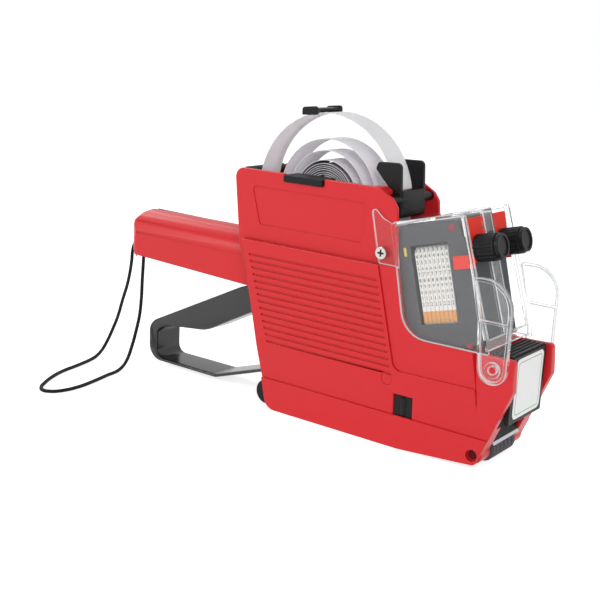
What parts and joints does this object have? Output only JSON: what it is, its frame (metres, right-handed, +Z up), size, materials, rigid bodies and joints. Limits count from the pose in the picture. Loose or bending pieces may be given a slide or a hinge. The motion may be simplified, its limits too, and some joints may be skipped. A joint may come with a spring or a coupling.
{
  "type": "price labeler",
  "caption": "Hand-held price labeler: red shells, trigger loop, swinging print head with two selector knobs under a clear cover, paper label roll, press roller and wrist cord.",
  "frame": {"origin": "on the table under the middle of the object's box, without the cord", "axes": "+X towards the label end, +Y to the left side, +Z up; the right side faces -Y"},
  "size_m": [0.2713, 0.1149, 0.1595],
  "materials": {
    "red_plastic": "satin moulded red plastic",
    "black_plastic": "satin moulded black plastic",
    "clear_plastic": "clear moulded plastic",
    "steel": "plain turned or pressed steel",
    "chrome": "plated screw heads",
    "grey_plastic": "smooth grey plastic",
    "band_rubber": "off-white flexible type bands",
    "orange_plastic": "orange plastic wheels",
    "pointer_red": "bright red plastic",
    "ink_felt": "inked felt",
    "roller_rubber": "grooved dark rubber",
    "paper": null,
    "card": null,
    "sticker": "pale bare sticker",
    "cord": "thin black braided cord"
  },
  "bodies": {
    "frame": {"right_shell": "red_plastic", "left_shell": "red_plastic", "shell_screws": "chrome", "clear_cover": "clear_plastic", "cover_screws": "chrome", "front_fork": "black_plastic", "right_hub_plate": "black_plastic", "left_hub_plate": "black_plastic", "retainer_pin": "steel", "trigger_shaft": "steel", "return_spring": "steel", "arm_studs": "steel", "yoke_pin": "steel", "front_cover_pin": "steel", "platen": "black_plastic", "peel_plate": "steel", "press_roller_pin": "steel", "feed_shaft": "steel", "pawl_spring": "steel", "bottom_cover_pin": "steel", "wrist_cord": "cord", "cord_knot": "cord"},
    "trigger_lever": {"trigger": "black_plastic", "drive_pin": "steel"},
    "print_head": {"right_arm": "steel", "left_arm": "steel", "head_case": "grey_plastic", "right_bands": "band_rubber", "left_bands": "band_rubber", "type_anvil": "grey_plastic", "right_wheel_stack": "orange_plastic", "left_wheel_stack": "orange_plastic"},
    "right_selector": {"right_pointer": "pointer_red"},
    "right_dial": {"right_knob": "black_plastic", "right_selector_shaft": "steel"},
    "left_selector": {"left_pointer": "pointer_red"},
    "left_dial": {"left_knob": "black_plastic", "left_selector_shaft": "steel"},
    "ink_arm": {"ink_yoke": "black_plastic", "ink_axle": "steel"},
    "ink_drum": {"ink_roller": "ink_felt"},
    "feed": {"feed_wheel": "black_plastic", "ratchet_wheel": "steel"},
    "paper_roll": {"roll_core": "card", "label_roll": "paper"},
    "press_drum": {"press_roller": "roller_rubber"},
    "tray": {"bottom_cover": "black_plastic"},
    "right_button": {"right_latch": "black_plastic"},
    "left_button": {"left_latch": "black_plastic"},
    "flap": {"front_cover": "black_plastic", "front_label": "sticker"},
    "retainer": {"roll_retainer": "black_plastic"}
  },
  "joints": [
    {"name": "trigger_squeeze", "type": "hinge", "parent": "frame", "child": "trigger_lever", "pos_m": [-0.0045, 0, 0.034], "axis": [0, 1, 0], "range_deg": [0, 20], "stiffness_Nm_per_rad": 1.2, "springref_deg": -11.46},
    {"name": "head_swing", "type": "hinge", "parent": "frame", "child": "print_head", "pos_m": [-0.0155, 0, 0.053], "axis": [0, 1, 0], "range_deg": [0, 14.5]},
    {"name": "ink_swing", "type": "hinge", "parent": "frame", "child": "ink_arm", "pos_m": [0.1132, 0, 0.031], "axis": [0, 1, 0], "range_deg": [0, 12]},
    {"name": "ink_spin", "type": "hinge", "parent": "ink_arm", "child": "ink_drum", "pos_m": [0.1112, 0, 0.044], "axis": [0, 1, 0], "continuous": true},
    {"name": "right_select", "type": "slide", "parent": "print_head", "child": "right_selector", "axis": [0.9681, 0, 0.2504], "range_m": [0, 0.014]},
    {"name": "right_dial_turn", "type": "hinge", "parent": "right_selector", "child": "right_dial", "pos_m": [0.10092, -0.0122, 0.10408], "axis": [0.9681, 0, 0.2504], "continuous": true},
    {"name": "left_select", "type": "slide", "parent": "print_head", "child": "left_selector", "axis": [0.9681, 0, 0.2504], "range_m": [0, 0.014]},
    {"name": "left_dial_turn", "type": "hinge", "parent": "left_selector", "child": "left_dial", "pos_m": [0.10092, 0.0122, 0.10408], "axis": [0.9681, 0, 0.2504], "continuous": true},
    {"name": "feed_turn", "type": "hinge", "parent": "frame", "child": "feed", "pos_m": [0.0585, 0, 0.0132], "axis": [0, 1, 0], "continuous": true},
    {"name": "roll_spin", "type": "hinge", "parent": "frame", "child": "paper_roll", "pos_m": [0.006, 0, 0.1145], "axis": [0, 1, 0], "continuous": true},
    {"name": "press_spin", "type": "hinge", "parent": "frame", "child": "press_drum", "pos_m": [0.108, 0, 0.008], "axis": [0, 1, 0], "continuous": true},
    {"name": "tray_open", "type": "hinge", "parent": "frame", "child": "tray", "pos_m": [0.0955, 0, 0.0075], "axis": [0, -1, 0], "range_deg": [0, 50]},
    {"name": "right_latch_press", "type": "slide", "parent": "frame", "child": "right_button", "axis": [0, 1, 0], "range_m": [0, 0.0015], "stiffness_N_per_m": 400, "springref_m": -0.001},
    {"name": "left_latch_press", "type": "slide", "parent": "frame", "child": "left_button", "axis": [0, -1, 0], "range_m": [0, 0.0015], "stiffness_N_per_m": 400, "springref_m": -0.001},
    {"name": "flap_open", "type": "hinge", "parent": "frame", "child": "flap", "pos_m": [0.1178, 0, 0.0308], "axis": [0, 1, 0], "range_deg": [0, 80]},
    {"name": "retainer_open", "type": "hinge", "parent": "frame", "child": "retainer", "pos_m": [-0.0392, 0, 0.1228], "axis": [0, -1, 0], "range_deg": [0, 75]}
  ],
  "couplings": [
    {"joint": "head_swing", "follows": "trigger_squeeze", "ratio": 0.725},
    {"joint": "ink_swing", "follows": "trigger_squeeze", "ratio": 0.6}
  ]
}
